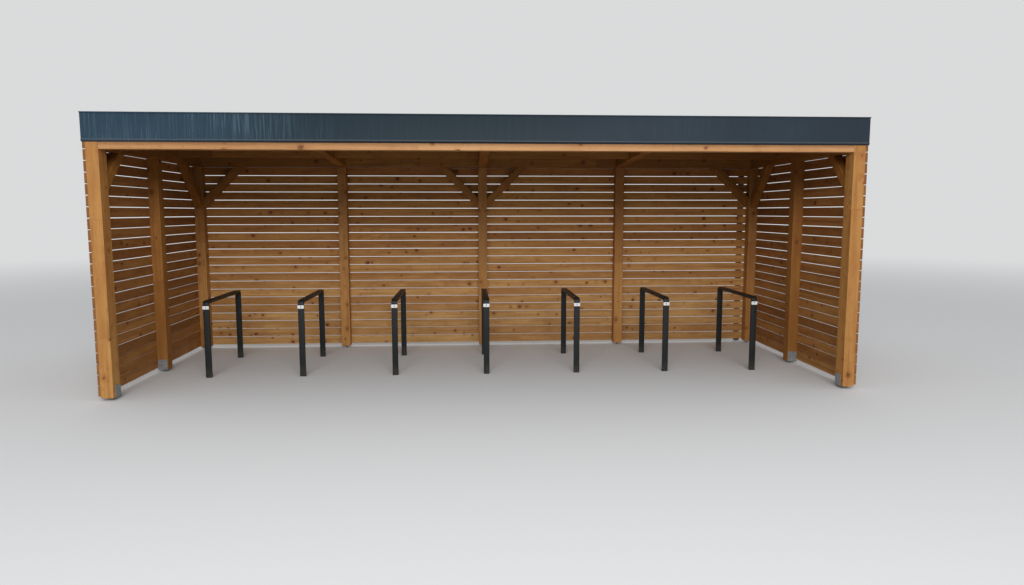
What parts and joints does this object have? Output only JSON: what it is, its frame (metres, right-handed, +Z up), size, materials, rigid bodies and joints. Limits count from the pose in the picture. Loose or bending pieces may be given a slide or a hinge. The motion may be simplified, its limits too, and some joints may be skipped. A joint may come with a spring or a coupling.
{
  "type": "bike shelter",
  "caption": "Open-fronted timber bike shelter with slatted back and ends, a sheet roof falling to the back behind a folded metal fascia, and a row of bent tube hoops.",
  "frame": {"origin": "on the ground, in the middle of the part's outline seen from above", "axes": "+X along the shelter to the right seen from the open front, +Y from the open front to the rear wall, +Z up"},
  "size_m": [7.024, 2.728, 2.552],
  "materials": {
    "timber": "oiled softwood, fine grain",
    "galvanised_steel": "hot-dip galvanised, dull",
    "roof_steel": "coated sheet, satin",
    "trim_steel": "coated sheet, satin",
    "hoop_steel": "powder coat, satin",
    "white_plate": "smooth"
  },
  "bodies": {
    "root": {"front_post_left": "timber", "front_post_right": "timber", "end_post_left": "timber", "end_post_right": "timber", "rear_post_1": "timber", "rear_post_2": "timber", "rear_post_3": "timber", "rear_post_4": "timber", "rear_post_5": "timber", "front_beam": "timber", "rear_beam": "timber", "left_beam": "timber", "right_beam": "timber", "rafter_1": "timber", "rafter_2": "timber", "rafter_3": "timber", "front_purlin": "timber", "rear_purlin": "timber", "left_braces": "timber", "right_braces": "timber", "rear_braces": "timber", "left_slats": "timber", "right_slats": "timber", "rear_slats_left": "timber", "rear_slats_right": "timber", "front_edge_board": "timber", "end_edge_boards": "timber", "front_post_feet": "galvanised_steel", "end_post_feet": "galvanised_steel", "rear_post_feet": "galvanised_steel", "roof_sheet": "roof_steel", "front_fascia": "trim_steel", "left_fascia": "trim_steel", "right_fascia": "trim_steel", "gutter": "trim_steel", "downpipe": "trim_steel", "downpipe_clips": "trim_steel", "hoop_1": "hoop_steel", "hoop_2": "hoop_steel", "hoop_3": "hoop_steel", "hoop_4": "hoop_steel", "hoop_5": "hoop_steel", "hoop_6": "hoop_steel", "hoop_7": "hoop_steel", "number_plates": "white_plate"}
  },
  "joints": []
}
